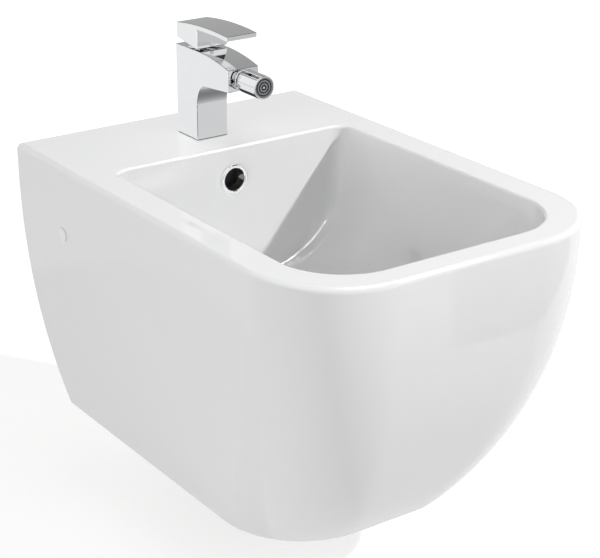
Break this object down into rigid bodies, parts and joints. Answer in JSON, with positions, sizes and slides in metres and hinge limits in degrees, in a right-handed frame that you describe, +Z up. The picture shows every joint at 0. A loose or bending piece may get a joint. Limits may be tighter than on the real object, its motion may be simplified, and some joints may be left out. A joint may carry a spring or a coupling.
{
  "type": "wall-hung bidet",
  "caption": "Wall-hung china bidet with a rounded box shell and deep basin, single-lever chrome mixer with swivel nozzle, overflow, click waste and hidden trap.",
  "frame": {"origin": "on the wall plane, midway between the two wall rod axes", "axes": "+Z up, -Y out of the wall towards the user, +Y into the wall, +X to the right for someone facing the wall"},
  "size_m": [0.361, 0.5741, 0.4449],
  "materials": {
    "china": "gloss white glaze",
    "bare_china": "unglazed inside the overflow duct",
    "chrome": "polished chrome plate",
    "brass": "machined",
    "steel": "zinc plated",
    "white_plastic": "moulded",
    "grey_plastic": "moulded",
    "cartridge_plastic": "moulded",
    "disc_ceramic": "lapped",
    "nickel": "nickel plated",
    "rubber": "matt",
    "screw_cap": "grey plug"
  },
  "bodies": {
    "bidet": {"china_rim": "china", "china_basin": "china", "china_skirt": "china", "china_back": "china", "china_base": "china", "china_duct": "bare_china", "overflow_ring": "chrome", "tap_body": "chrome", "cartridge_cover": "chrome", "nozzle_collar": "chrome", "waste_body": "chrome", "tap_stud": "brass", "waste_backnut": "brass", "plug_capsule": "brass", "horseshoe_washer": "steel", "tap_nut": "steel", "clamp_screws": "steel", "plug_spring": "steel", "waste_washer": "steel", "side_hole_caps": "white_plastic", "trap_inlet_nut": "white_plastic", "trap_dip_tube": "white_plastic", "trap_bottle": "white_plastic", "trap_cup": "white_plastic", "trap_outlet_nut": "white_plastic", "outlet_pipe": "white_plastic", "fixing_blocks": "grey_plastic", "plug_guide": "grey_plastic", "cartridge_base": "cartridge_plastic", "cartridge_housing": "cartridge_plastic", "fixed_disc": "disc_ceramic", "cartridge_nut": "nickel", "tap_base_gasket": "rubber", "horseshoe_gasket": "rubber", "cartridge_seals": "rubber", "nozzle_washer": "rubber", "waste_flange_seal": "rubber", "waste_lower_seal": "rubber", "trap_inlet_washer": "rubber", "trap_cup_seal": "rubber", "trap_outlet_washer": "rubber"},
    "rotor": {"cartridge_rotor": "cartridge_plastic", "stem_pin": "steel"},
    "lever": {"cartridge_stem": "nickel", "lever_handle": "chrome", "lever_grub_screw": "steel", "lever_screw_cap": "screw_cap"},
    "disc_slider": {"moving_disc": "disc_ceramic", "disc_carrier": "cartridge_plastic"},
    "nozzle_swivel": {"nozzle_seat": "grey_plastic"},
    "nozzle": {"nozzle_ball": "chrome", "nozzle_barrel": "chrome", "aerator_insert": "grey_plastic", "aerator_gasket": "rubber"},
    "plug": {"plug_cap": "chrome", "plug_plunger": "brass", "plug_seal": "rubber"}
  },
  "joints": [
    {"name": "lever_swivel", "type": "hinge", "parent": "bidet", "child": "rotor", "pos_m": [0, -0.0795, 0.153], "axis": [0, 0, 1], "range_deg": [-45, 45]},
    {"name": "lever_lift", "type": "hinge", "parent": "rotor", "child": "lever", "pos_m": [0, -0.0795, 0.153], "axis": [-1, 0, 0], "range_deg": [0, 18]},
    {"name": "disc_slide", "type": "slide", "parent": "rotor", "child": "disc_slider", "axis": [0, -1, 0], "range_m": [0, 0.0027]},
    {"name": "nozzle_roll", "type": "hinge", "parent": "bidet", "child": "nozzle_swivel", "pos_m": [0, -0.1585, 0.1505], "axis": [0, -1, 0], "continuous": true},
    {"name": "nozzle_tilt", "type": "hinge", "parent": "nozzle_swivel", "child": "nozzle", "pos_m": [0, -0.1585, 0.1505], "axis": [1, 0, 0], "range_deg": [-18, 18]},
    {"name": "plug_lift", "type": "slide", "parent": "bidet", "child": "plug", "axis": [0, 0, 1], "range_m": [0, 0.008], "deforming": ["plug_spring"]}
  ],
  "couplings": [
    {"joint": "disc_slide", "follows": "lever_lift", "m_per_rad": 0.0085}
  ]
}
